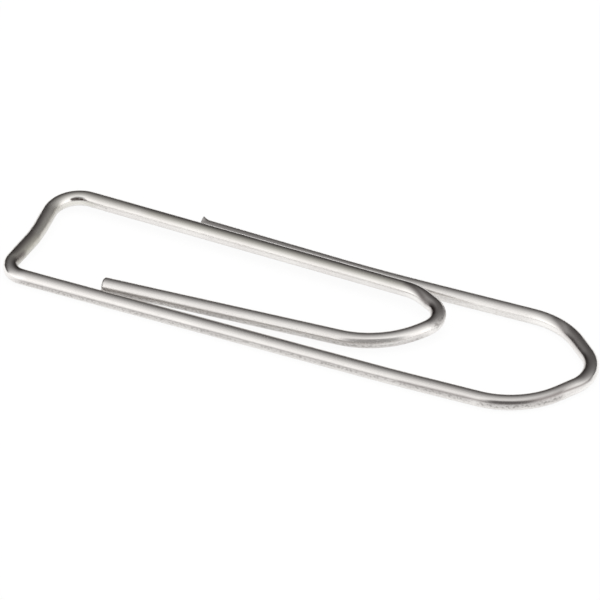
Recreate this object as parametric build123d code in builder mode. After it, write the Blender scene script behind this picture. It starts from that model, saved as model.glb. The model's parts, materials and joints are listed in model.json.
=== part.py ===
from build123d import *
import os
from math import cos, radians, sin, tan

os.makedirs("parts", exist_ok=True)

# A pointed paper clip, bent from one round steel wire. It lies on a table: X runs along the
# clip towards its pointed nose, Y across it towards the free leg, and Z up.
# Lengths are in millimetres and angles in degrees. Reaches are measured along X from the floor
# of the dent, offsets along Y from the long leg, and lifts along Z from the outer loop's plane,
# all of them at the wire's centre line. A lean is an offset from the middle of the frame.
# A corner is where two straight runs would meet unbent. A share is a part of the tongue's width.

# Wire
wire_diameter = 0.85

# Outer loop: free leg, pointed nose, long leg and heel
free_shoulder_reach = 29.33
long_shoulder_lead = 0.32
frame_width = 7.42
nose_length = 3.32
nose_lean = 0.572
free_leg_length = 21.29
free_leg_dip = 0.14
splay_length = 10.45
splay_rise = 0.43
long_leg_bow = 0.143
long_leg_bow_setback = 7.6
heel_setback = 0.45
splay_radius = 100.0
free_shoulder_radius = 4.15
nose_radius = 2.05
long_shoulder_radius = 4.75
long_leg_bow_radius = 150.0
heel_radius = 0.95

# Crossbar: its shallow dent has a straight floor, the torsion stretch that the tongue turns on
dent_lean = -0.18
dent_floor = 0.9
dent_radius = 2.0

# Tongue: its leg lies in the groove beside the free leg, and its end stands clear of the long leg
nest_gap = 0.03
nest_tilt = 21.0
tongue_heel_setback = 0.15
tongue_reach = 23.66
tongue_end_leg_length = 15.97
tongue_end_gap = 0.05
tongue_shoulder_lift = 0.51
tongue_nose_lift = 0.44
tongue_bow_lift = 0.2
tongue_end_lift = 0.15
tongue_heel_radius = 1.7

# Tongue's nose and bow, which keep their form when the tongue gets wider or narrower
shoulder_setback_share = 0.449
nose_drop_share = 0.2432
bow_setback_share = 0.477
bow_rise_share = 0.1571
shoulder_radius_share = 0.5238
nose_radius_share = 0.2245
bow_radius_share = 1.01

# Cut ends: the free leg is sheared a little off square, the tongue's rim is rounded
shear_slant = 2.0
rim_round = 0.12

wire_radius = wire_diameter / 2

# The outer nose and the dent stand near the middle of the frame
long_shoulder_reach = free_shoulder_reach + long_shoulder_lead
frame_middle = frame_width / 2
nose_offset = frame_middle + nose_lean
dent_offset = frame_middle + dent_lean

# The free leg bends in a little after its shoulder, then splays out to its cut end
free_end_reach = free_shoulder_reach - free_leg_length
splay_reach = free_end_reach + splay_length
splay_offset = frame_width - free_leg_dip
free_end_offset = splay_offset + splay_rise

# The tongue's leg runs beside the splayed end of the free leg, one wire away along the nest's tilt
nest_distance = wire_diameter + nest_gap
nest_spacing = nest_distance * cos(radians(nest_tilt))
nest_lift = nest_distance * sin(radians(nest_tilt))
splay_slope = splay_rise / splay_length


def tongue_leg_offset(reach):
    """Gives the offset of the tongue's leg at a reach along the clip."""
    return free_end_offset - splay_slope * (reach - free_end_reach) - nest_spacing


# The tongue's corners are set back from its nose, which drops from the leg towards the long leg
tongue_end_offset = wire_diameter + tongue_end_gap
tongue_width = tongue_leg_offset(tongue_reach) - tongue_end_offset
tongue_shoulder_reach = tongue_reach - shoulder_setback_share * tongue_width
tongue_shoulder_offset = tongue_leg_offset(tongue_shoulder_reach)
tongue_nose_offset = tongue_shoulder_offset - nose_drop_share * tongue_width
tongue_bow_reach = tongue_reach - bow_setback_share * tongue_width
tongue_bow_offset = tongue_end_offset + bow_rise_share * tongue_width
tongue_end_reach = tongue_bow_reach - tongue_end_leg_length

# The crossbar climbs from the outer loop to the tongue and is half way up at its dent
dent_lift = nest_lift / 2
dent_middle = (0, dent_offset, dent_lift)

outer_corners = [
    (free_end_reach, free_end_offset, 0),
    (splay_reach, splay_offset, 0),
    (free_shoulder_reach, frame_width, 0),
    (free_shoulder_reach + nose_length, nose_offset, 0),
    (long_shoulder_reach, 0, 0),
    (long_shoulder_reach - long_leg_bow_setback, -long_leg_bow, 0),
    (-heel_setback, 0, 0),
    (0, dent_offset - dent_floor / 2, dent_lift),
    dent_middle,
]
outer_radii = [
    splay_radius,
    free_shoulder_radius,
    nose_radius,
    long_shoulder_radius,
    long_leg_bow_radius,
    heel_radius,
    dent_radius,
]
tongue_corners = [
    dent_middle,
    (0, dent_offset + dent_floor / 2, dent_lift),
    (-tongue_heel_setback, tongue_leg_offset(-tongue_heel_setback), nest_lift),
    (tongue_shoulder_reach, tongue_shoulder_offset, tongue_shoulder_lift),
    (tongue_reach, tongue_nose_offset, tongue_nose_lift),
    (tongue_bow_reach, tongue_bow_offset, tongue_bow_lift),
    (tongue_end_reach, tongue_end_offset, tongue_end_lift),
]
tongue_radii = [
    dent_radius,
    tongue_heel_radius,
    shoulder_radius_share * tongue_width,
    nose_radius_share * tongue_width,
    bow_radius_share * tongue_width,
]

# The clip is centred over the origin and lies on the table
with BuildLine() as draft_route:
    FilletPolyline(*outer_corners, radius=outer_radii)
    FilletPolyline(*tongue_corners, radius=tongue_radii)
draft_middle = draft_route.line.bounding_box().center()
clip_frame = Plane(origin=(-draft_middle.X, -draft_middle.Y, wire_radius))

with BuildLine(clip_frame) as outer_route:
    FilletPolyline(*outer_corners, radius=outer_radii)
outer_runs = outer_route.edges().sort_by(outer_route.wire())

with BuildLine(clip_frame) as tongue_route:
    FilletPolyline(*tongue_corners, radius=tongue_radii)
tongue_runs = tongue_route.edges().sort_by(tongue_route.wire())


def wire_stretch(runs):
    """Sweeps the round wire along neighbouring runs of a route."""
    with BuildPart() as stretch:
        with BuildLine() as path:
            add(runs)
        with BuildSketch(Plane(origin=path.line @ 0, z_dir=path.line % 0)):
            Circle(wire_radius)
        sweep(path=path.line)
    return stretch


def save(built, name):
    """Labels a finished piece and writes it."""
    built.part.label = name
    export_step(built.part, f"parts/{name}.step")


# Free leg, from its sheared end to the shoulder
free_end = outer_runs[0] @ 0
free_direction = outer_runs[0] % 0
shear_setback = wire_radius * tan(radians(shear_slant))
shear_plane = Plane(
    origin=free_end + free_direction * shear_setback,
    z_dir=free_direction.rotate(Axis.Z, shear_slant),
)
with BuildPart() as free_leg:
    add(wire_stretch(outer_runs[0:3]).part)
    split(bisect_by=shear_plane, keep=Keep.TOP)
save(free_leg, "free_leg")

# The rest of the outer loop, round the pointed nose and back to the middle of the dent
outer_stretches = {
    "free_shoulder": outer_runs[3:4],
    "free_flank": outer_runs[4:5],
    "nose": outer_runs[5:6],
    "long_flank": outer_runs[6:7],
    "long_shoulder": outer_runs[7:8],
    "long_leg": outer_runs[8:11],
    "heel": outer_runs[11:12],
    "anchored_crossbar": outer_runs[12:15],
}
for name, runs in outer_stretches.items():
    save(wire_stretch(runs), name)

# The tongue, from the middle of the dent round its bow
tongue_stretches = {
    "sprung_crossbar": tongue_runs[0:3],
    "tongue_heel": tongue_runs[3:4],
    "tongue_leg": tongue_runs[4:5],
    "tongue_shoulder": tongue_runs[5:6],
    "tongue_flank": tongue_runs[6:7],
    "tongue_nose": tongue_runs[7:8],
    "tongue_bow_flank": tongue_runs[8:9],
    "tongue_bow": tongue_runs[9:10],
}
for name, runs in tongue_stretches.items():
    save(wire_stretch(runs), name)

# The tongue's free leg, with the rounded rim of its cut end
with BuildPart() as tongue_end_leg:
    add(wire_stretch(tongue_runs[10:11]).part)
    cut_face = tongue_end_leg.faces().sort_by_distance(tongue_runs[10] @ 1)[0]
    fillet(cut_face.edges(), radius=rim_round)
save(tongue_end_leg, "tongue_end_leg")
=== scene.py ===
"""Dresses a pointed paper clip, bent from one bright plated wire, and lays it on a white table.

Lengths are in millimetres and angles in degrees unless a name says otherwise. Meshes are in metres.
Along the wire, travel runs from the sheared end of the free leg round to the end of the tongue.
Round the wire, 0 degrees is the inner side of the loop, 90 is the top and 180 the outer side.
"""

import json
import logging
import math
from dataclasses import dataclass, field
from enum import Enum, IntEnum
from typing import Any

import bmesh
import bpy
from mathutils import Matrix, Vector, noise

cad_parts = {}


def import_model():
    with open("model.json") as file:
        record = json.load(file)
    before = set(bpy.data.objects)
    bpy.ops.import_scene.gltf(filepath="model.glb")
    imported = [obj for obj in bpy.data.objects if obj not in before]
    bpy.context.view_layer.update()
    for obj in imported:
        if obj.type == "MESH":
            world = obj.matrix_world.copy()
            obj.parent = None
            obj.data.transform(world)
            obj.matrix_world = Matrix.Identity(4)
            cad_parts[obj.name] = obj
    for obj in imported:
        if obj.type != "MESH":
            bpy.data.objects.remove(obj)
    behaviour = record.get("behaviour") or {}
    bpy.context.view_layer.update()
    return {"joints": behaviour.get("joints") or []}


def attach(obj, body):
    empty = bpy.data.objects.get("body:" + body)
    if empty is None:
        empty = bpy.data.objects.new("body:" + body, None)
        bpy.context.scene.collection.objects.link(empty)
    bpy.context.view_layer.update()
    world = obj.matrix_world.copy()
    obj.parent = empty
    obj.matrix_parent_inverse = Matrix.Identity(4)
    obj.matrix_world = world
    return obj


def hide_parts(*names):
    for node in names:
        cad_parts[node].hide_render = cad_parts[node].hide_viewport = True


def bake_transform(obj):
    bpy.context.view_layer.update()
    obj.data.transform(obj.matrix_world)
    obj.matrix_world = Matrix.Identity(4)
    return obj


LOG = logging.getLogger("paper_clip")
MILLIMETRE = 0.001
TRAVEL_DIGITS = 6

Colour = tuple[float, float, float]


class Body(Enum):
    """The bodies that the clip's pieces ride on."""

    OUTER_LOOP = "outer_loop"
    TONGUE = "tongue"


class Skin(IntEnum):
    """The material slots of a wire's mesh."""

    PLATING = 0
    CUT = 1


class WireLayer(Enum):
    """The layers that a wire's mesh carries for its finish and for the shade painted on it."""

    DRAWN = "drawn"
    WORK = "work"
    SCUFF = "scuff"
    GRAIN = "grain"
    # Painted dark reflections and shade, with some darker plating at the tongue's nose
    PAINTED_SHADE_AND_STAIN = "stain"
    TARNISH = "tarnish"


def bell(distance: float, spread: float) -> float:
    """Gives a soft hump that is 1 at its middle and fades over the spread."""
    return math.exp(-((distance / spread) ** 2))


def apart(angle: float, other: float) -> float:
    """Gives the smallest turn between two angles, in degrees."""
    return abs((angle - other + 180.0) % 360.0 - 180.0)


@dataclass(frozen=True)
class Corner:
    """A place where two straight runs of the wire would meet unbent.

    Attributes:
        place: Reach along the clip, offset across it and lift above the outer loop's plane.
        bend: Radius of the bend there, at the wire's centre line.
    """

    place: Vector
    bend: float = 0.0


@dataclass(frozen=True)
class Station:
    """A place on the wire's centre line, with the directions of its section.

    Attributes:
        travel: Distance along the wire from the free leg's end.
        place: The point on the centre line.
        along: Direction of travel.
        work: How hard the wire is bent there, as its radius over the bend's radius.
    """

    travel: float
    place: Vector
    along: Vector
    work: float

    def point(self, angle: float, radius: float, advance: float = 0.0) -> Vector:
        """Gives a point of the wire's section.

        Args:
            angle: Place round the section.
            radius: Distance from the centre line.
            advance: Shift along the wire.

        Returns:
            The point, in millimetres.
        """
        up = (Vector((0, 0, 1)) - self.along * self.along.z).normalized()
        inner = self.along.cross(up)
        turn = math.radians(angle)
        return self.place + self.along * advance + (inner * math.cos(turn) + up * math.sin(turn)) * radius


@dataclass(frozen=True)
class Run:
    """A straight run of the wire's centre line, or a bend of one radius.

    Attributes:
        first: Travel at the run's start.
        length: The run's length.
        start: The run's first point.
        along: Direction at the start.
        inward: Direction towards the centre of a bend.
        bend: Radius of a bend, or 0 for a straight run.
    """

    first: float
    length: float
    start: Vector
    along: Vector
    inward: Vector
    bend: float

    def at(self, distance: float) -> tuple[Vector, Vector]:
        """Gives the point and the direction at a distance from the run's start.

        Args:
            distance: Distance along the run.

        Returns:
            The point and the direction there.
        """
        if not self.bend:
            return self.start + self.along * distance, self.along
        turn = distance / self.bend
        swing = self.along * math.sin(turn) + self.inward * (1 - math.cos(turn))
        return self.start + swing * self.bend, self.along * math.cos(turn) + self.inward * math.sin(turn)


@dataclass
class WireRoute:
    """The wire's centre line: straight runs joined by tangent bends.

    Attributes:
        corners: The route's corners, from the free leg's end to the tongue's end.
        wire_radius: Radius of the wire.
        straight_step: Longest step between two rings.
        bend_step: Largest turn between two rings of a bend.
        work_spread: Distance over which the work of a bend fades out.
        runs: The straight runs and bends in order, filled in from the corners.
    """

    corners: list[Corner]
    wire_radius: float
    straight_step: float = 0.2
    bend_step: float = 2.5
    work_spread: float = 0.5
    runs: list[Run] = field(default_factory=list)

    def __post_init__(self) -> None:
        """Bends the corners into runs."""
        start = self.corners[0].place
        for before, corner, after in zip(self.corners, self.corners[1:], self.corners[2:]):
            along = (corner.place - before.place).normalized()
            leaving = (after.place - corner.place).normalized()
            turn = along.angle(leaving)
            setback = corner.bend * math.tan(turn / 2)
            self._add_run(start, corner.place - along * setback)
            inward = (leaving - along * along.dot(leaving)).normalized()
            bend_start = corner.place - along * setback
            self.runs.append(Run(self.length, corner.bend * turn, bend_start, along, inward, corner.bend))
            start = corner.place + leaving * setback
        self._add_run(start, self.corners[-1].place)

    def _add_run(self, start: Vector, end: Vector) -> None:
        """Adds a straight run.

        Args:
            start: The run's first point.
            end: The run's last point.
        """
        reach = end - start
        self.runs.append(Run(self.length, reach.length, start, reach.normalized(), Vector(), 0.0))

    @property
    def length(self) -> float:
        """Length of the wire so far."""
        return self.runs[-1].first + self.runs[-1].length if self.runs else 0.0

    def run_at(self, travel: float) -> Run:
        """Finds the run that holds a travel."""
        return next((run for run in self.runs if travel <= run.first + run.length), self.runs[-1])

    def middle(self, index: int) -> float:
        """Gives the travel at the middle of a run, counted from the free leg's end."""
        return self.runs[index].first + self.runs[index].length / 2

    def at(self, travel: float) -> Station:
        """Gives the station at a travel.

        Args:
            travel: Distance along the wire.

        Returns:
            The station there.
        """
        run = self.run_at(travel)
        place, along = run.at(travel - run.first)
        shares = (-1.0, -0.5, 0.0, 0.5, 1.0)
        beside = [self.run_at(travel + share * self.work_spread).bend for share in shares]
        work = sum(self.wire_radius / bend for bend in beside if bend) / len(beside)
        return Station(travel, place, along, work)

    def travels(self, first: float, last: float) -> list[float]:
        """Lists where the rings stand between two travels, closer together in tight bends.

        Args:
            first: Travel of the first ring.
            last: Travel of the last ring.

        Returns:
            The travels in order, with both ends.
        """
        first, last = round(first, TRAVEL_DIGITS), round(last, TRAVEL_DIGITS)
        places = {first, last}
        for run in self.runs:
            step = self.straight_step
            if run.bend:
                step = min(step, run.bend * math.radians(self.bend_step))
            count = math.ceil(run.length / step)
            for index in range(count + 1):
                places.add(round(run.first + run.length * index / count, TRAVEL_DIGITS))
        return sorted(place for place in places if first <= place <= last)


@dataclass(frozen=True)
class RimMark:
    """A burr that stands up from the rim of a cut end, or a notch in it.

    Attributes:
        angle: Its place round the rim.
        spread: How far it spreads round the rim.
        reach: How far it reaches along the wire.
        height: How far it stands up, or sinks in if below 0.
    """

    angle: float
    spread: float
    reach: float
    height: float

    def lift(self, angle: float, back: float) -> float:
        """Gives the lift of the rim at a place near the end.

        Args:
            angle: Place round the rim.
            back: Distance back from the end.

        Returns:
            The lift.
        """
        fade = max(0.0, 1 - max(back, 0.0) / self.reach)
        return self.height * fade * fade * bell(apart(angle, self.angle), self.spread)


@dataclass(frozen=True)
class CutEnd:
    """One of the wire's cut ends.

    Attributes:
        rim_round: Radius of the rim.
        slant: How far off square the cut is, with the outer side the longer.
        torn: Roughness of the cut face.
        marks: Burrs and notches on the rim.
        lead: Length of wire that the end's own rings cover.
        lead_steps: Rings on that length.
        rim_steps: Steps round the rim.
        face_shares: Shares of the face's radius at which its rings stand.
    """

    rim_round: float
    slant: float
    torn: float
    marks: tuple[RimMark, ...]
    lead: float = 0.6
    lead_steps: int = 10
    rim_steps: int = 6
    face_shares: tuple[float, ...] = (0.84, 0.66, 0.48, 0.3, 0.14)

    def sections(self, wire_radius: float) -> list[tuple[float, float, Skin]]:
        """Lists the end's rings, from the wire to the middle of the face.

        Args:
            wire_radius: Radius of the wire.

        Returns:
            The radius, the distance back from the end and the skin of each ring.
        """
        rings = []
        for step in range(self.lead_steps):
            back = self.lead + (self.rim_round - self.lead) * step / self.lead_steps
            rings.append((wire_radius, back, Skin.PLATING))
        for step in range(self.rim_steps + 1):
            turn = math.radians(90.0 * step / self.rim_steps)
            inset = self.rim_round * (1 - math.cos(turn))
            skin = Skin.CUT if 2 * step > self.rim_steps else Skin.PLATING
            rings.append((wire_radius - inset, self.rim_round * (1 - math.sin(turn)), skin))
        face_radius = wire_radius - self.rim_round
        rings.extend((face_radius * share, 0.0, Skin.CUT) for share in self.face_shares)
        return rings

    def points(
        self, end: Station, outward: int, radius: float, back: float, angles: list[float]
    ) -> list[Vector]:
        """Places one ring of the end.

        Args:
            end: The station at the end of the wire.
            outward: 1 where travel leaves the wire at this end, or -1 where it enters.
            radius: The ring's radius.
            back: The ring's distance back from the end.
            angles: Places round the section.

        Returns:
            The ring's points.
        """
        placed = []
        slope = math.tan(math.radians(self.slant)) * max(0.0, 1 - back / self.lead)
        for angle in angles:
            lift = sum(mark.lift(angle, back) for mark in self.marks)
            rim_share = 1.0 if back > 0 else 0.0
            slanted = radius * (1 + math.cos(math.radians(angle))) * slope
            flat = end.point(angle, radius + lift * rim_share)
            torn = self.torn * noise.noise(flat / (radius + self.rim_round)) * (1 - rim_share)
            placed.append(end.point(angle, radius + lift * rim_share, -outward * (back + slanted + torn)))
        return placed


@dataclass(frozen=True)
class Patch:
    """A long patch of the plating that was scuffed, dulled or tarnished, or that is darkened with painted
    shade.

    Attributes:
        travels: Where it starts and ends along the wire.
        angles: Its middle round the wire, at its start and at its end.
        width: How far it spreads round the wire.
        fade: How far it fades out beyond its ends.
        strength: Its strength at its middle.
    """

    travels: tuple[float, float]
    angles: tuple[float, float]
    width: float
    fade: float
    strength: float = 1.0

    def at(self, travel: float, angle: float) -> float:
        """Gives the patch's strength at a place on the wire.

        Args:
            travel: Distance along the wire.
            angle: Place round the wire.

        Returns:
            The strength, up to 1.
        """
        first, last = self.travels
        share = min(max((travel - first) / (last - first), 0.0), 1.0)
        middle = self.angles[0] + (self.angles[1] - self.angles[0]) * share
        beyond = max(first - travel, travel - last, 0.0)
        return self.strength * bell(beyond, self.fade) * bell(apart(angle, middle), self.width)


@dataclass
class WireMesh:
    """A closed mesh, skinned over rings of points round the wire.

    Attributes:
        route: The wire's centre line.
        patches: Marked patches of the whole wire, by layer.
        origin: Where the route's zero point lies in the clip's frame, in metres.
        sides: Points in each ring.
    """

    route: WireRoute
    patches: dict[WireLayer, tuple[Patch, ...]]
    origin: Vector
    sides: int = 72

    def __post_init__(self) -> None:
        """Starts an empty mesh with its layers."""
        self.mesh = bmesh.new()
        layers = self.mesh.verts.layers
        self.drawn = layers.float_vector.new(WireLayer.DRAWN.value)
        self.work = layers.float.new(WireLayer.WORK.value)
        self.patched = {layer: layers.float.new(layer.value) for layer in self.patches}
        self.angles = [360.0 * side / self.sides for side in range(self.sides)]
        self.first_ring: list[bmesh.types.BMVert] = []
        self.last_ring: list[bmesh.types.BMVert] = []

    def _vertex(
        self, point: Vector, travel: float, work: float, angle: float, radius: float
    ) -> bmesh.types.BMVert:
        """Adds one vertex with its layers.

        Args:
            point: The vertex's place on the route.
            travel: Distance along the wire.
            work: How hard the wire is bent there.
            angle: Place round the section.
            radius: Distance from the centre line.

        Returns:
            The vertex.
        """
        vertex = self.mesh.verts.new(self.origin + point * MILLIMETRE)
        turn = math.radians(angle)
        vertex[self.drawn] = Vector((radius * math.cos(turn), radius * math.sin(turn), travel))
        vertex[self.work] = work
        for layer, patches in self.patches.items():
            vertex[self.patched[layer]] = max(patch.at(travel, angle) for patch in patches)
        return vertex

    def _add_ring(self, points: list[Vector], station: Station, radius: float, skin: Skin) -> None:
        """Adds a ring and joins it to the ring before it.

        Args:
            points: The ring's points.
            station: The station that the ring stands at.
            radius: The ring's plain radius.
            skin: Material slot of the faces that join it to the ring before.
        """
        ring = [
            self._vertex(point, station.travel, station.work, angle, radius)
            for point, angle in zip(points, self.angles)
        ]
        for side in range(self.sides if self.last_ring else 0):
            beside = (side + 1) % self.sides
            corners = (self.last_ring[side], ring[side], ring[beside], self.last_ring[beside])
            face = self.mesh.faces.new(corners)
            face.smooth = True
            face.material_index = skin
        self.first_ring = self.first_ring or ring
        self.last_ring = ring

    def add_wire(self, first: float, last: float) -> None:
        """Adds the plain wire between two travels.

        Args:
            first: Travel of the first ring.
            last: Travel of the last ring.
        """
        radius = self.route.wire_radius
        for travel in self.route.travels(first, last):
            station = self.route.at(travel)
            points = [station.point(angle, radius) for angle in self.angles]
            self._add_ring(points, station, radius, Skin.PLATING)

    def add_end(self, cut: CutEnd, outward: int) -> None:
        """Adds a cut end, from its face to the wire or from the wire to its face.

        Args:
            cut: The end's shape.
            outward: 1 at the wire's last end, or -1 at its first.
        """
        end = self.route.at(self.route.length if outward > 0 else 0.0)
        sections = cut.sections(self.route.wire_radius)
        skins = [skin for _, _, skin in sections]
        if outward < 0:
            # A skin covers the faces back to the ring before, so each skin moves on by one ring
            sections.reverse()
            skins = [skins[-1], *reversed(skins[1:])]
        for (radius, back, _), skin in zip(sections, skins):
            station = Station(end.travel - outward * back, end.place, end.along, end.work)
            self._add_ring(cut.points(end, outward, radius, back, self.angles), station, radius, skin)
        self.close(self.last_ring if outward > 0 else self.first_ring, outward, Skin.CUT)

    def close(self, ring: list[bmesh.types.BMVert], outward: int, skin: Skin) -> None:
        """Closes a ring with one flat face.

        Args:
            ring: The ring to close.
            outward: 1 where the face looks along the wire, or -1 where it looks back.
            skin: The face's material slot.
        """
        face = self.mesh.faces.new(ring if outward < 0 else list(reversed(ring)))
        face.material_index = skin
        face.smooth = skin is Skin.CUT
        if skin is Skin.PLATING:
            for edge in face.edges:
                edge.smooth = False

    def to_object(self, name: str) -> bpy.types.Object:
        """Turns the finished mesh into an object of the scene.

        Args:
            name: The piece's name.

        Returns:
            The new object.
        """
        self.mesh.normal_update()
        data = bpy.data.meshes.new(name)
        self.mesh.to_mesh(data)
        self.mesh.free()
        piece = bpy.data.objects.new(name, data)
        bpy.context.scene.collection.objects.link(piece)
        return piece


@dataclass(frozen=True)
class Graph:
    """A node tree with short calls that add and link nodes.

    Attributes:
        tree: The node tree.
        mix_inputs: Numbers of a mix node's factor and its two colours.
        mix_result: Number of its mixed colour.
    """

    tree: bpy.types.NodeTree

    mix_inputs = (0, 6, 7)
    mix_result = 2

    def add(
        self, kind: str, inputs: dict[str | int, Any] | None = None, **settings: Any
    ) -> bpy.types.Node:
        """Adds a node, sets it and links its inputs.

        Args:
            kind: The node's type.
            inputs: A value, or a socket to link, for each input by name or number.
            **settings: Values of the node's own properties.

        Returns:
            The new node.
        """
        node = self.tree.nodes.new(kind)
        for name, value in settings.items():
            setattr(node, name, value)
        for name, value in (inputs or {}).items():
            if isinstance(value, bpy.types.NodeSocket):
                self.tree.links.new(value, node.inputs[name])
            else:
                node.inputs[name].default_value = value
        return node

    def math(self, operation: str, *values: Any) -> bpy.types.NodeSocket:
        """Adds a sum of the given kind and gives its result."""
        return self.add("ShaderNodeMath", dict(enumerate(values)), operation=operation).outputs[0]

    def spread(
        self, value: Any, low: float, high: float, to_low: float = 0.0, to_high: float = 1.0
    ) -> bpy.types.NodeSocket:
        """Maps a value from one range to another, held at both ends.

        Args:
            value: The socket to map.
            low: The value that gives to_low.
            high: The value that gives to_high.
            to_low: Result at the low end.
            to_high: Result at the high end.

        Returns:
            The mapped socket.
        """
        inputs = {"Value": value, "From Min": low, "From Max": high, "To Min": to_low, "To Max": to_high}
        return self.add("ShaderNodeMapRange", inputs).outputs["Result"]

    def mix(self, factor: Any, first: Any, second: Any) -> bpy.types.NodeSocket:
        """Mixes two colours by a factor.

        Args:
            factor: Share of the second colour.
            first: Colour or socket.
            second: Colour or socket.

        Returns:
            The mixed colour's socket.
        """
        node = self.add("ShaderNodeMix", data_type="RGBA")
        for socket, value in zip(self.mix_inputs, (factor, first, second)):
            if isinstance(value, bpy.types.NodeSocket):
                self.tree.links.new(value, node.inputs[socket])
            else:
                node.inputs[socket].default_value = (*value, 1.0) if socket else value
        return node.outputs[self.mix_result]

    def square(self, value: bpy.types.NodeSocket) -> bpy.types.NodeSocket:
        """Multiplies a value by itself."""
        return self.math("MULTIPLY", value, value)

    def dot(self, direction: Any, other: tuple[float, float, float]) -> bpy.types.NodeSocket:
        """Gives how far a direction reaches along another."""
        inputs = {0: direction, 1: other}
        return self.add("ShaderNodeVectorMath", inputs, operation="DOT_PRODUCT").outputs["Value"]

    def layer(self, layer: WireLayer, output: str) -> bpy.types.NodeSocket:
        """Reads one of the wire's layers."""
        return self.add("ShaderNodeAttribute", attribute_name=layer.value).outputs[output]

    def noise(self, place: bpy.types.NodeSocket, scale: Any, detail: float) -> bpy.types.NodeSocket:
        """Adds plain noise.

        Args:
            place: The place to read it at.
            scale: How close together its lumps are.
            detail: How many finer lumps it has.

        Returns:
            The noise's value.
        """
        inputs = {"Vector": place, "Scale": scale, "Detail": detail}
        return self.add("ShaderNodeTexNoise", inputs).outputs[0]

    def bump(
        self, height: bpy.types.NodeSocket, depth: float, normal: Any = None, invert: bool = False
    ) -> bpy.types.NodeSocket:
        """Adds a bump.

        Args:
            height: The bump's height, from 0 to 1.
            depth: Depth of a full bump, in millimetres.
            normal: Socket of the normal below it, if any.
            invert: Whether the bump sinks in.

        Returns:
            The bumped normal.
        """
        inputs = {"Height": height, "Distance": depth * MILLIMETRE}
        if normal is not None:
            inputs["Normal"] = normal
        return self.add("ShaderNodeBump", inputs, invert=invert).outputs[0]

    def metal(self, colour: Any, roughness: Any, normal: Any) -> None:
        """Ends a material as bare metal.

        Args:
            colour: Colour or socket.
            roughness: Roughness or socket.
            normal: Socket of the surface's normal.
        """
        inputs = {"Base Color": colour, "Metallic": 1.0, "Roughness": roughness, "Normal": normal}
        shader = self.add("ShaderNodeBsdfPrincipled", inputs)
        self.add("ShaderNodeOutputMaterial", {"Surface": shader.outputs[0]})


@dataclass(frozen=True)
class EffectGroup:
    """A node group that several finishes share.

    Attributes:
        name: The group's name.
        controls: Names of its number inputs, beside the place on the wire.
        result: Name of its output.
    """

    name: str
    controls: tuple[str, ...]
    result: str

    def start(self) -> tuple[Graph, bpy.types.Node]:
        """Makes the empty group with its sockets.

        Returns:
            The group's graph and its input node.
        """
        tree = bpy.data.node_groups.new(self.name, "ShaderNodeTree")
        tree.interface.new_socket("Wire Place", in_out="INPUT", socket_type="NodeSocketVector")
        for control in self.controls:
            tree.interface.new_socket(control, in_out="INPUT", socket_type="NodeSocketFloat")
        tree.interface.new_socket(self.result, in_out="OUTPUT", socket_type="NodeSocketFloat")
        graph = Graph(tree)
        return graph, graph.add("NodeGroupInput")

    def place(self, graph: Graph, **controls: float) -> bpy.types.NodeSocket:
        """Places the group in a material.

        Args:
            graph: The material's graph.
            **controls: A value for each control, with _ for each space of its name.

        Returns:
            The group's result.
        """
        node = graph.add("ShaderNodeGroup", node_tree=self.tree())
        graph.tree.links.new(graph.layer(WireLayer.DRAWN, "Vector"), node.inputs["Wire Place"])
        for name, value in controls.items():
            node.inputs[name.replace("_", " ").title()].default_value = value
        return node.outputs[self.result]

    def tree(self) -> bpy.types.NodeTree:
        """Gives the group's tree, built the first time it is asked for."""
        return bpy.data.node_groups.get(self.name) or self.build()

    def build(self) -> bpy.types.NodeTree:
        """Builds the group's nodes."""
        raise NotImplementedError


class DrawingMarks(EffectGroup):
    """Fine lines that the drawing die leaves along the wire.

    Attributes:
        detail: How many finer lines the noise has.
        border: Values of the noise that give no line and a full one.
    """

    detail = 3.0
    border = (0.25, 0.75)

    def build(self) -> bpy.types.NodeTree:
        """Builds noise that is stretched along the wire.

        Returns:
            The group's tree.
        """
        graph, given = self.start()
        lines = given.outputs["Lines"]
        slow = graph.math("DIVIDE", lines, given.outputs["Stretch"])
        scale = graph.add("ShaderNodeCombineXYZ", {0: lines, 1: lines, 2: slow}).outputs[0]
        scaled = graph.add("ShaderNodeVectorMath", {0: given.outputs[0], 1: scale}, operation="MULTIPLY")
        streaks = graph.noise(scaled.outputs[0], 1.0, self.detail)
        graph.add("NodeGroupOutput", {0: graph.spread(streaks, *self.border)})
        return graph.tree


class PlatingFlecks(EffectGroup):
    """Small pits and specks in the metal.

    Attributes:
        detail: How many finer lumps the noise has.
        fade: How far the noise rises over a fleck's border.
    """

    detail = 2.0
    fade = 0.1

    def build(self) -> bpy.types.NodeTree:
        """Builds noise that keeps only its peaks.

        Returns:
            The group's tree.
        """
        graph, given = self.start()
        scale = graph.math("DIVIDE", 1.0, given.outputs["Fleck Size"])
        grain = graph.noise(given.outputs[0], scale, self.detail)
        threshold = graph.math("SUBTRACT", 1.0, given.outputs["Coverage"])
        over = graph.math("SUBTRACT", grain, threshold)
        graph.add("NodeGroupOutput", {0: graph.spread(over, 0.0, self.fade)})
        return graph.tree


class StainClouds(EffectGroup):
    """Soft clouds of uneven tone over the metal.

    Attributes:
        detail: How many finer lumps the noise has.
        border: Values of the noise that give no cloud and a full one.
    """

    detail = 4.0
    border = (0.35, 0.65)

    def build(self) -> bpy.types.NodeTree:
        """Builds broad noise with soft borders.

        Returns:
            The group's tree.
        """
        graph, given = self.start()
        scale = graph.math("DIVIDE", 1.0, given.outputs["Cloud Size"])
        clouds = graph.noise(given.outputs[0], scale, self.detail)
        graph.add("NodeGroupOutput", {0: graph.spread(clouds, *self.border)})
        return graph.tree


DRAWING_MARKS = DrawingMarks("drawing marks", ("Lines", "Stretch"), "Streaks")
PLATING_FLECKS = PlatingFlecks("plating flecks", ("Fleck Size", "Coverage"), "Flecks")
STAIN_CLOUDS = StainClouds("stain clouds", ("Cloud Size",), "Clouds")


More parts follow.
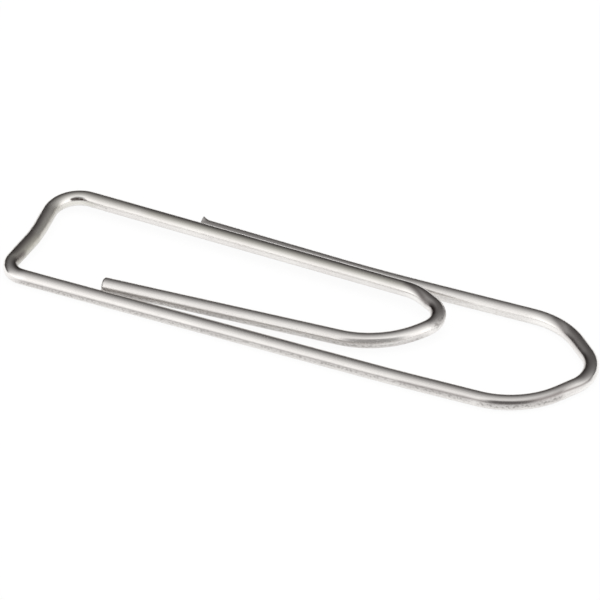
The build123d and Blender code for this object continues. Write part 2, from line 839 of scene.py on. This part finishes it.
def new_material(name: str) -> tuple[bpy.types.Material, Graph]:
    """Starts a material with an empty node tree.

    Args:
        name: The material's name.

    Returns:
        The material and its graph.
    """
    material = bpy.data.materials.new(name)
    material.use_nodes = True
    material.node_tree.nodes.clear()
    return material, Graph(material.node_tree)


@dataclass(frozen=True)
class PlatedWire:
    """Bright plating over drawn steel wire.

    Attributes:
        bright: Colour of clean plating.
        polished: Colour of plating that a bend's tools polished.
        clouded: Colour of the plating where it is a little dull.
        dulled: Colour of the plating in the rollers' track and where tools dulled it.
        tarnished: Colour of olive tarnish.
        painted_shade_and_stain: Colour of the painted dark reflections and shade along the wire. At the
            tongue's shoulder and nose it is partly painted shade and partly darker plating.
        scuffed: Colour of a patch that a forming tool scuffed.
        roughness: Roughness of clean plating on straight wire.
        bend_roughness: Roughness of plating that a bend's tools polished.
        streak_roughness: Roughness that the drawing marks add or take away.
        grain_roughness: Roughness that dulling adds.
        pit_roughness: Roughness that the pits add.
        torn_roughness: Roughness that scuffing adds.
        mark_lines: Drawing marks on a millimetre of the wire's width.
        mark_stretch: How many times longer than wide a drawing mark is.
        mark_depth: Depth of the drawing marks.
        pit_size: Size of the pits.
        pit_coverage: How much of the metal is pitted.
        pit_depth: Depth of the pits.
        pit_share: Share of the clouded colour in a pit.
        speck_size: Size of the specks that break up a dulled patch.
        speck_coverage: How much of the metal has such specks.
        cloud_size: Size of the clouds.
        cloud_share: Share of the clouded colour in a cloud.
        dulling: Strength of a dulled patch in plain metal, and what specks and clouds add to it.
        tear_floor: How easily metal without a drawing mark, and metal without a pit, tears in a scuff.
        tear_border: Scuffing at which the metal starts to tear and is all torn.
        full_work: Work of a bend that polishes the plating fully.
    """

    bright: Colour = (0.89, 0.872, 0.85)
    polished: Colour = (0.95, 0.935, 0.915)
    clouded: Colour = (0.82, 0.79, 0.775)
    dulled: Colour = (0.46, 0.443, 0.43)
    tarnished: Colour = (0.42, 0.415, 0.33)
    # Painted dark reflections and shade, with some darker plating at the tongue's nose
    painted_shade_and_stain: Colour = (0.185, 0.16, 0.157)
    scuffed: Colour = (0.11, 0.082, 0.075)
    roughness: float = 0.25
    bend_roughness: float = 0.15
    streak_roughness: float = 0.08
    grain_roughness: float = 0.45
    pit_roughness: float = 0.12
    torn_roughness: float = 0.3
    mark_lines: float = 24.0
    mark_stretch: float = 60.0
    mark_depth: float = 0.0011
    pit_size: float = 0.075
    pit_coverage: float = 0.36
    pit_depth: float = 0.0016
    pit_share: float = 0.35
    speck_size: float = 0.14
    speck_coverage: float = 0.5
    cloud_size: float = 2.6
    cloud_share: float = 0.6
    dulling: tuple[float, float, float] = (0.5, 0.45, 0.3)
    tear_floor: tuple[float, float] = (0.35, 0.4)
    tear_border: tuple[float, float] = (0.07, 0.26)
    full_work: float = 0.16

    def build(self) -> bpy.types.Material:
        """Builds the finish.

        Returns:
            The material.
        """
        material, graph = new_material("bright plating")
        streaks = DRAWING_MARKS.place(graph, lines=self.mark_lines, stretch=self.mark_stretch)
        pits = PLATING_FLECKS.place(graph, fleck_size=self.pit_size, coverage=self.pit_coverage)
        specks = PLATING_FLECKS.place(graph, fleck_size=self.speck_size, coverage=self.speck_coverage)
        clouds = STAIN_CLOUDS.place(graph, cloud_size=self.cloud_size)

        plain_dulling, speck_dulling, cloud_dulling = self.dulling
        uneven = graph.math("MULTIPLY_ADD", clouds, cloud_dulling, plain_dulling)
        uneven = graph.math("MULTIPLY_ADD", specks, speck_dulling, uneven)
        grain = graph.math("MULTIPLY", graph.layer(WireLayer.GRAIN, "Fac"), uneven)
        streak_floor, pit_floor = self.tear_floor
        lined = graph.math("ADD", streaks, streak_floor)
        ragged = graph.math("MULTIPLY", lined, graph.math("ADD", pits, pit_floor))
        scuff = graph.math("MULTIPLY", graph.layer(WireLayer.SCUFF, "Fac"), ragged)
        torn = graph.spread(scuff, *self.tear_border)
        polish = graph.spread(graph.layer(WireLayer.WORK, "Fac"), 0.0, self.full_work)

        colour = graph.mix(polish, self.bright, self.polished)
        colour = graph.mix(graph.math("MULTIPLY", clouds, self.cloud_share), colour, self.clouded)
        colour = graph.mix(grain, colour, self.dulled)
        colour = graph.mix(graph.math("MULTIPLY", pits, self.pit_share), colour, self.clouded)
        colour = graph.mix(graph.layer(WireLayer.TARNISH, "Fac"), colour, self.tarnished)
        # Painted dark reflections and shade: darkens the metal where it mirrors dark surroundings or lies
        # in shade
        colour = graph.mix(graph.layer(WireLayer.PAINTED_SHADE_AND_STAIN, "Fac"), colour, self.painted_shade_and_stain)
        colour = graph.mix(torn, colour, self.scuffed)

        half_streak = self.streak_roughness / 2
        ends = (self.roughness - half_streak, self.bend_roughness - half_streak)
        rough = graph.spread(polish, 0.0, 1.0, *ends)
        added = (
            (streaks, self.streak_roughness),
            (grain, self.grain_roughness),
            (pits, self.pit_roughness),
            (torn, self.torn_roughness),
        )
        for mask, roughness in added:
            rough = graph.math("MULTIPLY_ADD", mask, roughness, rough)

        normal = graph.bump(streaks, self.mark_depth)
        normal = graph.bump(pits, self.pit_depth, normal, invert=True)
        graph.metal(colour, rough, normal)
        return material


@dataclass(frozen=True)
class ShearedSteel:
    """Bare steel of a cut end, torn by the shear.

    Attributes:
        bare: Colour of fresh bare steel.
        dulled: Colour of bare steel that has dulled.
        roughness: Roughness of the torn face.
        pit_roughness: Roughness that the pits add.
        mark_lines: Shear lines on a millimetre of the face.
        mark_stretch: How many times longer than wide a shear line is.
        mark_depth: Depth of the shear's lines and pits.
        pit_size: Size of the pits.
        pit_coverage: How much of the face is pitted.
        cloud_size: Size of the dulled clouds.
    """

    bare: Colour = (0.57, 0.555, 0.535)
    dulled: Colour = (0.36, 0.335, 0.31)
    roughness: float = 0.36
    pit_roughness: float = 0.2
    mark_lines: float = 16.0
    mark_stretch: float = 1.0
    mark_depth: float = 0.004
    pit_size: float = 0.05
    pit_coverage: float = 0.45
    cloud_size: float = 0.3

    def build(self) -> bpy.types.Material:
        """Builds the finish.

        Returns:
            The material.
        """
        material, graph = new_material("sheared steel")
        lines = DRAWING_MARKS.place(graph, lines=self.mark_lines, stretch=self.mark_stretch)
        pits = PLATING_FLECKS.place(graph, fleck_size=self.pit_size, coverage=self.pit_coverage)
        clouds = STAIN_CLOUDS.place(graph, cloud_size=self.cloud_size)
        colour = graph.mix(clouds, self.bare, self.dulled)
        rough = graph.math("MULTIPLY_ADD", pits, self.pit_roughness, self.roughness)
        height = graph.math("ADD", lines, pits)
        graph.metal(colour, rough, graph.bump(height, self.mark_depth))
        return material


@dataclass(frozen=True)
class OuterLoop:
    """The outer loop: free leg, pointed nose, long leg and heel.

    Reaches run along the clip from the dent's floor and offsets across it from the long leg, to the
    corners of the wire's centre line.

    Attributes:
        wire_diameter: Thickness of the wire.
        free_shoulder_reach: Reach of the free leg's shoulder.
        long_shoulder_reach: Reach of the long leg's shoulder.
        frame_width: Offset of the free leg's shoulder.
        nose_length: Reach of the nose beyond the free leg's shoulder.
        nose_lean: Offset of the nose from the frame's middle.
        free_leg_length: Length of the free leg along the clip.
        free_leg_dip: How far the free leg bends in before it splays out.
        splay_length: Length of its splayed part along the clip.
        splay_rise: How far it splays out over that length.
        long_leg_bow: How far the long leg bows out.
        long_leg_bow_setback: How far that bow lies behind the long leg's shoulder.
        heel_setback: How far the heel lies behind the dent's floor.
        splay_radius: Radius of the bend where the free leg splays.
        free_shoulder_radius: Radius of the free leg's shoulder.
        nose_radius: Radius of the nose.
        long_shoulder_radius: Radius of the long leg's shoulder.
        long_leg_bow_radius: Radius of the long leg's bow.
        heel_radius: Radius of the heel.
        end: The free leg's sheared end, with its burr.
        nodes: The solid nodes that the visual piece replaces.
    """

    wire_diameter: float = 0.85
    free_shoulder_reach: float = 29.33
    long_shoulder_reach: float = 29.65
    frame_width: float = 7.42
    nose_length: float = 3.32
    nose_lean: float = 0.572
    free_leg_length: float = 21.29
    free_leg_dip: float = 0.14
    splay_length: float = 10.45
    splay_rise: float = 0.43
    long_leg_bow: float = 0.143
    long_leg_bow_setback: float = 7.6
    heel_setback: float = 0.45
    splay_radius: float = 100.0
    free_shoulder_radius: float = 4.15
    nose_radius: float = 2.05
    long_shoulder_radius: float = 4.75
    long_leg_bow_radius: float = 150.0
    heel_radius: float = 0.95
    end: CutEnd = CutEnd(
        rim_round=0.03, slant=2.0, torn=0.02,
        marks=(RimMark(angle=122.0, spread=26.0, reach=0.4, height=0.13),),
    )

    nodes = ("free_leg", "free_shoulder", "free_flank", "nose", "long_flank", "long_shoulder",
             "long_leg", "heel")

    @property
    def frame_middle(self) -> float:
        """Offset of the frame's middle line."""
        return self.frame_width / 2

    @property
    def free_end_reach(self) -> float:
        """Reach of the free leg's end."""
        return self.free_shoulder_reach - self.free_leg_length

    @property
    def splay_offset(self) -> float:
        """Offset of the free leg where it starts to splay."""
        return self.frame_width - self.free_leg_dip

    @property
    def splay_slope(self) -> float:
        """Rise of the splayed leg over its length."""
        return self.splay_rise / self.splay_length

    def free_leg_offset(self, reach: float) -> float:
        """Gives the offset of the splayed leg's line at a reach."""
        return self.splay_offset + self.splay_rise - self.splay_slope * (reach - self.free_end_reach)

    def corners(self) -> list[Corner]:
        """Lists the corners from the free leg's end to the heel.

        Returns:
            The corners in order.
        """
        splay_reach = self.free_end_reach + self.splay_length
        nose_reach = self.free_shoulder_reach + self.nose_length
        nose_offset = self.frame_middle + self.nose_lean
        bow_reach = self.long_shoulder_reach - self.long_leg_bow_setback
        return [
            Corner(Vector((self.free_end_reach, self.free_leg_offset(self.free_end_reach), 0))),
            Corner(Vector((splay_reach, self.splay_offset, 0)), self.splay_radius),
            Corner(Vector((self.free_shoulder_reach, self.frame_width, 0)), self.free_shoulder_radius),
            Corner(Vector((nose_reach, nose_offset, 0)), self.nose_radius),
            Corner(Vector((self.long_shoulder_reach, 0, 0)), self.long_shoulder_radius),
            Corner(Vector((bow_reach, -self.long_leg_bow, 0)), self.long_leg_bow_radius),
            Corner(Vector((-self.heel_setback, 0, 0)), self.heel_radius),
        ]

    def build(self, mesh: WireMesh, seam: float) -> bpy.types.Object:
        """Builds the wire from the sheared end to a seam in the crossbar.

        Args:
            mesh: An empty mesh.
            seam: Travel of the seam.

        Returns:
            The new piece.
        """
        mesh.add_end(self.end, -1)
        mesh.add_wire(self.end.lead + mesh.route.straight_step, seam)
        mesh.close(mesh.last_ring, 1, Skin.PLATING)
        piece = mesh.to_object("outer_wire")
        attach(piece, Body.OUTER_LOOP.value)
        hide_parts(*self.nodes)
        return piece


@dataclass(frozen=True)
class Tongue:
    """The tongue: its leg in the groove beside the free leg, its nose, its bow and its end leg.

    Lifts are above the outer loop's plane, and reaches and offsets are as the outer loop's.

    Attributes:
        outer: The outer loop that the tongue nests in.
        nest_gap: Clear gap between the tongue's leg and the free leg.
        nest_tilt: How steeply the tongue's leg lies up the groove beside the free leg.
        heel_setback: How far the tongue's heel lies behind the dent's floor.
        reach: Reach of the tongue's nose.
        shoulder_setback: How far the shoulder lies behind the nose.
        nose_drop: Offset of the nose from the shoulder, towards the long leg.
        bow_setback: How far the bow lies behind the nose.
        bow_offset: Offset of the bow.
        end_leg_length: Length of the end leg along the clip.
        end_gap: Clear gap between the tongue's end and the long leg, seen from above.
        shoulder_lift: Lift of the shoulder.
        nose_lift: Lift of the nose.
        bow_lift: Lift of the bow.
        end_lift: Lift of the tongue's end.
        heel_radius: Radius of the heel.
        shoulder_radius: Radius of the shoulder.
        nose_radius: Radius of the nose.
        bow_radius: Radius of the bow.
        end: The tongue's cut end, with its rounded rim and a small notch.
        nodes: The solid nodes that the visual piece replaces.
    """

    outer: OuterLoop
    nest_gap: float = 0.03
    nest_tilt: float = 21.0
    heel_setback: float = 0.15
    reach: float = 23.66
    shoulder_setback: float = 2.4
    nose_drop: float = 1.3
    bow_setback: float = 2.55
    bow_offset: float = 1.74
    end_leg_length: float = 15.97
    end_gap: float = 0.05
    shoulder_lift: float = 0.51
    nose_lift: float = 0.44
    bow_lift: float = 0.2
    end_lift: float = 0.15
    heel_radius: float = 1.7
    shoulder_radius: float = 2.8
    nose_radius: float = 1.2
    bow_radius: float = 5.4
    end: CutEnd = CutEnd(
        rim_round=0.12, slant=0.0, torn=0.02,
        marks=(RimMark(angle=140.0, spread=14.0, reach=0.25, height=-0.05),),
    )

    nodes = ("tongue_heel", "tongue_leg", "tongue_shoulder", "tongue_flank", "tongue_nose",
             "tongue_bow_flank", "tongue_bow", "tongue_end_leg")

    @property
    def nest_distance(self) -> float:
        """Distance between the tongue's leg and the free leg, at their centre lines."""
        return self.outer.wire_diameter + self.nest_gap

    @property
    def nest_lift(self) -> float:
        """Lift of the tongue's leg at the heel."""
        return self.nest_distance * math.sin(math.radians(self.nest_tilt))

    def leg_offset(self, reach: float) -> float:
        """Gives the offset of the tongue's leg at a reach."""
        spacing = self.nest_distance * math.cos(math.radians(self.nest_tilt))
        return self.outer.free_leg_offset(reach) - spacing

    def corners(self) -> list[Corner]:
        """Lists the corners from the tongue's heel to its end.

        Returns:
            The corners in order.
        """
        shoulder = self.reach - self.shoulder_setback
        bow = self.reach - self.bow_setback
        heel_offset = self.leg_offset(-self.heel_setback)
        shoulder_offset = self.leg_offset(shoulder)
        nose_offset = shoulder_offset - self.nose_drop
        end_offset = self.outer.wire_diameter + self.end_gap
        return [
            Corner(Vector((-self.heel_setback, heel_offset, self.nest_lift)), self.heel_radius),
            Corner(Vector((shoulder, shoulder_offset, self.shoulder_lift)), self.shoulder_radius),
            Corner(Vector((self.reach, nose_offset, self.nose_lift)), self.nose_radius),
            Corner(Vector((bow, self.bow_offset, self.bow_lift)), self.bow_radius),
            Corner(Vector((bow - self.end_leg_length, end_offset, self.end_lift))),
        ]

    def build(self, mesh: WireMesh, seam: float) -> bpy.types.Object:
        """Builds the wire from a seam in the crossbar to the tongue's end.

        Args:
            mesh: An empty mesh.
            seam: Travel of the seam.

        Returns:
            The new piece.
        """
        mesh.add_wire(seam, mesh.route.length - self.end.lead - mesh.route.straight_step)
        mesh.close(mesh.first_ring, -1, Skin.PLATING)
        mesh.add_end(self.end, 1)
        piece = mesh.to_object("tongue_wire")
        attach(piece, Body.TONGUE.value)
        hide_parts(*self.nodes)
        return piece


@dataclass(frozen=True)
class Crossbar:
    """The dented crossbar, which twists in the straight floor of its dent as the tongue lifts.

    Attributes:
        outer: The outer loop that it leaves.
        tongue: The tongue that it carries.
        dent_lean: Offset of the dent from the frame's middle.
        dent_floor: Length of the dent's straight floor.
        dent_radius: Radius of the bends on both sides of the floor.
        nodes: The solid nodes that the visual piece replaces.
    """

    outer: OuterLoop
    tongue: Tongue
    dent_lean: float = -0.18
    dent_floor: float = 0.9
    dent_radius: float = 2.0

    nodes = ("anchored_crossbar", "sprung_crossbar")

    @property
    def middle(self) -> Vector:
        """The middle of the dent's floor, where the tongue's hinge is."""
        return Vector((0, self.outer.frame_middle + self.dent_lean, self.tongue.nest_lift / 2))

    def corners(self) -> list[Corner]:
        """Lists the two corners of the dent's floor."""
        half_floor = Vector((0, self.dent_floor / 2, 0))
        return [Corner(self.middle + half_floor * side, self.dent_radius) for side in (-1, 1)]

    def build(self, mesh: WireMesh, seams: tuple[float, float], hinge: Vector) -> bpy.types.Object:
        """Builds the crossbar between its seams.

        Args:
            mesh: An empty mesh.
            seams: Travels of the seams on both sides of the dent.
            hinge: The hinge's place, in metres. Not used.

        Returns:
            The new piece.
        """
        mesh.add_wire(*seams)
        mesh.close(mesh.first_ring, -1, Skin.PLATING)
        mesh.close(mesh.last_ring, 1, Skin.PLATING)
        piece = mesh.to_object("crossbar_wire")
        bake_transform(piece)
        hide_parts(*self.nodes)
        return piece


@dataclass
class PaperClip:
    """The whole clip: one wire in three stretches; the outer loop and the tongue each ride on their own
    body.

    Attributes:
        hinge: Place of the hinge that the tongue lifts on, in metres.
        outer: The outer loop, which the crossbar and the tongue follow from.
        scuffs: Patches that the forming tools scuffed.
        tarnishes: Patches of olive tarnish, on the crossbar and along the tongue's leg.
        painted_shade_and_stains: Painted dark reflections and shade along the wire, where the metal
            mirrors dark surroundings or lies in shade. At the tongue's shoulder and nose they are partly
            painted shade and partly darker plating, and along the tongue's leg they give a darker top.
        grains: Patches that rollers and tools dulled.
    """

    hinge: Vector
    outer: OuterLoop = OuterLoop()
    scuffs: tuple[Patch, ...] = (
        Patch(travels=(66.55, 66.95), angles=(33.0, 30.0), width=10.0, fade=0.12),
        Patch(travels=(67.1, 67.28), angles=(28.5, 27.0), width=8.0, fade=0.09),
        Patch(travels=(67.44, 67.52), angles=(26.0, 25.0), width=5.5, fade=0.08, strength=0.8),
        Patch(travels=(67.6, 68.2), angles=(23.0, 13.0), width=4.0, fade=0.15, strength=0.3),
    )
    tarnishes: tuple[Patch, ...] = (
        Patch(travels=(60.4, 62.4), angles=(40.0, 36.0), width=70.0, fade=0.5, strength=0.6),
        Patch(travels=(62.8, 65.3), angles=(36.0, 30.0), width=70.0, fade=0.5, strength=0.35),
        Patch(travels=(65.4, 67.8), angles=(0.0, 0.0), width=22.0, fade=0.4, strength=0.4),
        Patch(travels=(65.6, 70.0), angles=(80.0, 80.0), width=40.0, fade=0.6, strength=0.3),
        Patch(travels=(71.5, 86.3), angles=(72.0, 72.0), width=30.0, fade=0.8, strength=0.45),
    )
    # Painted dark reflections and shade, and some darker plating
    painted_shade_and_stains: tuple[Patch, ...] = (
        # Painted dark reflection: the dark line between the bright band and the mirrored table, along the
        # end of the outer nose, the long shoulder and the long leg
        Patch(travels=(26.2, 27.7), angles=(149.0, 141.0), width=10.0, fade=0.3, strength=0.8),
        Patch(travels=(28.0, 31.4), angles=(136.0, 144.0), width=16.0, fade=0.4, strength=0.85),
        Patch(travels=(31.6, 36.5), angles=(150.0, 158.0), width=9.0, fade=0.5, strength=0.65),
        Patch(travels=(36.5, 58.5), angles=(157.0, 170.0), width=6.0, fade=0.5, strength=0.5),
        # Partly painted shade and partly darker plating, at the tongue's shoulder and nose
        Patch(travels=(86.7, 88.4), angles=(92.0, 34.0), width=27.0, fade=0.2, strength=0.8),
        Patch(travels=(88.5, 89.8), angles=(40.0, 56.0), width=27.0, fade=0.2, strength=0.85),
        Patch(travels=(87.0, 90.4), angles=(100.0, 95.0), width=34.0, fade=0.4, strength=0.55),
        # Painted dark reflection on the heel and crossbar, which run towards the camera
        Patch(travels=(59.1, 61.0), angles=(75.0, 30.0), width=34.0, fade=0.3, strength=0.8),
        Patch(travels=(60.9, 62.4), angles=(84.0, 84.0), width=36.0, fade=0.4, strength=0.7),
        Patch(travels=(62.7, 64.6), angles=(92.0, 90.0), width=30.0, fade=0.4, strength=0.5),
        # Painted shade in the groove beside the tongue's leg, at the free leg's end
        Patch(travels=(0.3, 5.0), angles=(70.0, 70.0), width=14.0, fade=0.8, strength=0.45),
        # Darker along the top of the tongue's leg
        Patch(travels=(70.5, 86.8), angles=(100.0, 100.0), width=17.0, fade=0.6, strength=0.4),
        # Painted dark reflection on the top and inner side of the free shoulder, flank and nose
        Patch(travels=(20.9, 22.1), angles=(85.0, 32.0), width=22.0, fade=0.2, strength=0.5),
        Patch(travels=(22.2, 26.0), angles=(36.0, 48.0), width=24.0, fade=0.2, strength=0.6),
        Patch(travels=(22.2, 26.3), angles=(88.0, 100.0), width=38.0, fade=0.4, strength=0.55),
    )
    grains: tuple[Patch, ...] = (
        Patch(travels=(60.4, 65.3), angles=(40.0, 30.0), width=70.0, fade=0.4, strength=0.4),
        Patch(travels=(67.5, 68.8), angles=(20.0, 6.0), width=10.0, fade=0.3, strength=0.6),
        Patch(travels=(89.4, 90.3), angles=(145.0, 145.0), width=40.0, fade=0.3, strength=0.9),
        Patch(travels=(25.8, 28.0), angles=(162.0, 172.0), width=16.0, fade=0.4, strength=0.35),
        Patch(travels=(28.2, 32.0), angles=(172.0, 176.0), width=22.0, fade=0.4),
        Patch(travels=(33.0, 58.6), angles=(172.0, 184.0), width=19.0, fade=0.6, strength=0.8),
        Patch(travels=(91.6, 95.2), angles=(178.0, 178.0), width=28.0, fade=0.5, strength=0.3),
        Patch(travels=(91.5, 108.9), angles=(191.0, 191.0), width=25.0, fade=0.8, strength=0.75),
        Patch(travels=(0.3, 19.0), angles=(0.0, 0.0), width=24.0, fade=0.6, strength=0.35),
        Patch(travels=(67.8, 86.4), angles=(0.0, 0.0), width=24.0, fade=0.6, strength=0.2),
    )

    def __post_init__(self) -> None:
        """Bends the route and finds where it lies in the clip's frame."""
        self.tongue = Tongue(self.outer)
        self.crossbar = Crossbar(self.outer, self.tongue)
        stretches = (self.outer, self.crossbar, self.tongue)
        corners = [corner for stretch in stretches for corner in stretch.corners()]
        self.route = WireRoute(corners, self.outer.wire_diameter / 2)
        self.origin = self.hinge - self.crossbar.middle * MILLIMETRE

    @property
    def dent_run(self) -> int:
        """Number of the straight run at the floor of the dent."""
        return 2 * len(self.outer.corners())

    def build(self) -> list[bpy.types.Object]:
        """Builds and dresses the three stretches of wire.

        Returns:
            The new pieces.
        """
        seams = (self.route.middle(self.dent_run - 2), self.route.middle(self.dent_run + 2))
        pieces = [
            self.outer.build(self._mesh(), seams[0]),
            self.crossbar.build(self._mesh(), seams, self.hinge),
            self.tongue.build(self._mesh(), seams[1]),
        ]
        finishes = (PlatedWire().build(), ShearedSteel().build())
        for piece in pieces:
            for finish in finishes:
                piece.data.materials.append(finish)
        return pieces

    def _mesh(self) -> WireMesh:
        """Starts an empty wire mesh.

        Returns:
            The mesh, with the wire's route and marks.
        """
        patches = {
            WireLayer.SCUFF: self.scuffs, WireLayer.TARNISH: self.tarnishes,
            WireLayer.PAINTED_SHADE_AND_STAIN: self.painted_shade_and_stains, WireLayer.GRAIN: self.grains}
        return WireMesh(self.route, patches, self.origin)


@dataclass(frozen=True)
class Table:
    """The white table that the clip lies on.

    Attributes:
        half_width: Half the table's width, in metres.
        paint: Colour of the table.
        seen_white: Share of the table that shows as plain white to the camera.
        mirrored_white: Share that shows as plain white in the metal.
    """

    half_width: float = 3.0
    paint: Colour = (0.92, 0.92, 0.92)
    seen_white: float = 0.93
    mirrored_white: float = 0.5

    def build(self) -> bpy.types.Object:
        """Builds the table with its finish.

        Returns:
            The table.
        """
        half = self.half_width
        corners = [(-half, -half, 0), (half, -half, 0), (half, half, 0), (-half, half, 0)]
        data = bpy.data.meshes.new("table")
        data.from_pydata(corners, [], [range(len(corners))])
        table = bpy.data.objects.new("table", data)
        bpy.context.scene.collection.objects.link(table)
        data.materials.append(self._finish())
        return table

    def _finish(self) -> bpy.types.Material:
        """Builds the table's white, which keeps the clip's shadow.

        Returns:
            The material.
        """
        material, graph = new_material("white table")
        rays = graph.add("ShaderNodeLightPath").outputs
        mirrored = graph.math("MAXIMUM", rays["Is Glossy Ray"], rays["Is Transmission Ray"])
        seen = graph.math("MULTIPLY", rays["Is Camera Ray"], self.seen_white)
        share = graph.math("MULTIPLY_ADD", mirrored, self.mirrored_white, seen)
        matt = graph.add("ShaderNodeBsdfDiffuse", {"Color": (*self.paint, 1.0)})
        white = graph.add("ShaderNodeEmission", {"Strength": 1.0})
        mixed = graph.add("ShaderNodeMixShader", {0: share, 1: matt.outputs[0], 2: white.outputs[0]})
        graph.add("ShaderNodeOutputMaterial", {"Surface": mixed.outputs[0]})
        return material


@dataclass(frozen=True)
class LightTent:
    """A soft arched light tent over the table, brightest in front, with a dim opening for the camera.

    Attributes:
        azimuth: Direction of the tent's front, counted as the camera's azimuth is.
        glow: Light of the tent's front.
        gloom: Light of the tent's back.
        span: Places along the arch, from -1 at the back to 1 in front, where it is darkest and brightest.
        fall: How fast the arch dims from the front to the back.
        lean: How far the light reaches back on the right side more than on the left.
        opening_half_width: Half the width of the opening, as a sideways reach.
        opening_rise: How far the opening rises up the arch.
        opening_border: Shares of its size at which the opening's soft border ends and starts.
        opening_dim: Share of the light that the opening takes away.
        whole: Just over 1, to keep the arch whole straight to the side.
    """

    azimuth: float = 22.3
    glow: Colour = (1.24, 1.23, 1.22)
    gloom: Colour = (0.052, 0.046, 0.044)
    span: tuple[float, float] = (-1.0, 0.8)
    fall: float = 1.15
    lean: float = 0.16
    opening_half_width: float = 0.47
    opening_rise: float = 0.47
    opening_border: tuple[float, float] = (1.12, 0.82)
    opening_dim: float = 0.78
    whole: float = 1.0001

    def build(self) -> None:
        """Builds the tent as a plain gradient of the world."""
        world = bpy.data.worlds.new("light tent")
        world.use_nodes = True
        world.node_tree.nodes.clear()
        bpy.context.scene.world = world
        graph = Graph(world.node_tree)
        turn = math.radians(self.azimuth)
        front = (math.sin(turn), -math.cos(turn), 0.0)
        right = (math.cos(turn), math.sin(turn), 0.0)
        direction = graph.add("ShaderNodeTexCoord").outputs["Generated"]
        forward = graph.dot(direction, front)
        aside = graph.dot(direction, right)
        slant = graph.math("SQRT", graph.math("SUBTRACT", self.whole, graph.square(aside)))
        arch = graph.math("DIVIDE", forward, slant)

        leant = graph.math("MULTIPLY_ADD", aside, self.lean, arch)
        wall = graph.math("POWER", graph.spread(leant, *self.span), self.fall)
        across = graph.math("DIVIDE", aside, self.opening_half_width)
        along = graph.math("DIVIDE", graph.math("SUBTRACT", 1.0, arch), self.opening_rise)
        squares = graph.math("ADD", graph.square(across), graph.square(along))
        opening = graph.spread(graph.math("SQRT", squares), *self.opening_border)
        kept = graph.math("MULTIPLY_ADD", opening, -self.opening_dim, 1.0)
        light = graph.mix(graph.math("MULTIPLY", wall, kept), self.gloom, self.glow)
        sky = graph.add("ShaderNodeBackground", {"Color": light})
        graph.add("ShaderNodeOutputWorld", {"Surface": sky.outputs[0]})


@dataclass(frozen=True)
class TableLamp:
    """A wide soft lamp over the table, kept out of what the metal mirrors.

    Attributes:
        height: Height over the table, in metres.
        width: Width of the square lamp, in metres.
        power: Power, in watts.
    """

    height: float = 0.6
    width: float = 0.8
    power: float = 3.4

    def build(self) -> bpy.types.Object:
        """Builds the lamp.

        Returns:
            The lamp.
        """
        light = bpy.data.lights.new("table lamp", "AREA")
        light.size = self.width
        light.energy = self.power
        lamp = bpy.data.objects.new("table lamp", light)
        lamp.location.z = self.height
        lamp.visible_glossy = False
        bpy.context.scene.collection.objects.link(lamp)
        return lamp


@dataclass(frozen=True)
class TableCamera:
    """The camera that looks down on the table.

    Attributes:
        azimuth: Turn of the view, where 0 looks along the clip's +Y.
        elevation: Height of the view above the table's plane.
        distance: Distance from the camera to the target.
        target: The point that the camera looks at.
        lens: Focal length.
        sensor: Width of the sensor.
        near_share: Share of the distance at which the view starts.
    """

    azimuth: float = 22.27
    elevation: float = 40.0
    distance: float = 330.0
    target: tuple[float, float, float] = (-0.615, 0.569, 0.0)
    lens: float = 365.7
    sensor: float = 36.0
    near_share: float = 0.1

    def build(self) -> bpy.types.Object:
        """Builds the camera and makes it the scene's own.

        Returns:
            The camera.
        """
        turn, rise = math.radians(self.azimuth), math.radians(self.elevation)
        level = math.cos(rise)
        back = Vector((math.sin(turn) * level, -math.cos(turn) * level, math.sin(rise)))
        lens = bpy.data.cameras.new("camera")
        lens.lens = self.lens
        lens.sensor_width = self.sensor
        lens.clip_start = self.distance * self.near_share * MILLIMETRE
        camera = bpy.data.objects.new("camera", lens)
        camera.location = (Vector(self.target) + back * self.distance) * MILLIMETRE
        camera.rotation_mode = "QUATERNION"
        camera.rotation_quaternion = (-back).to_track_quat("-Z", "Y")
        bpy.context.scene.collection.objects.link(camera)
        bpy.context.scene.camera = camera
        return camera


def main() -> None:
    """Builds the clip, then the table, the light and the camera."""
    logging.basicConfig(level=logging.INFO, format="%(name)s: %(message)s")
    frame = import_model()
    hinge = Vector(frame["joints"][0]["pos_m"])
    for piece in PaperClip(hinge).build():
        LOG.info("built %s with %d faces", piece.name, len(piece.data.polygons))
    bpy.context.scene.view_settings.view_transform = "Standard"
    for piece in (Table().build(), TableLamp().build(), TableCamera().build()):
        LOG.info("placed %s", piece.name)
    LightTent().build()


if __name__ == "__main__":
    main()
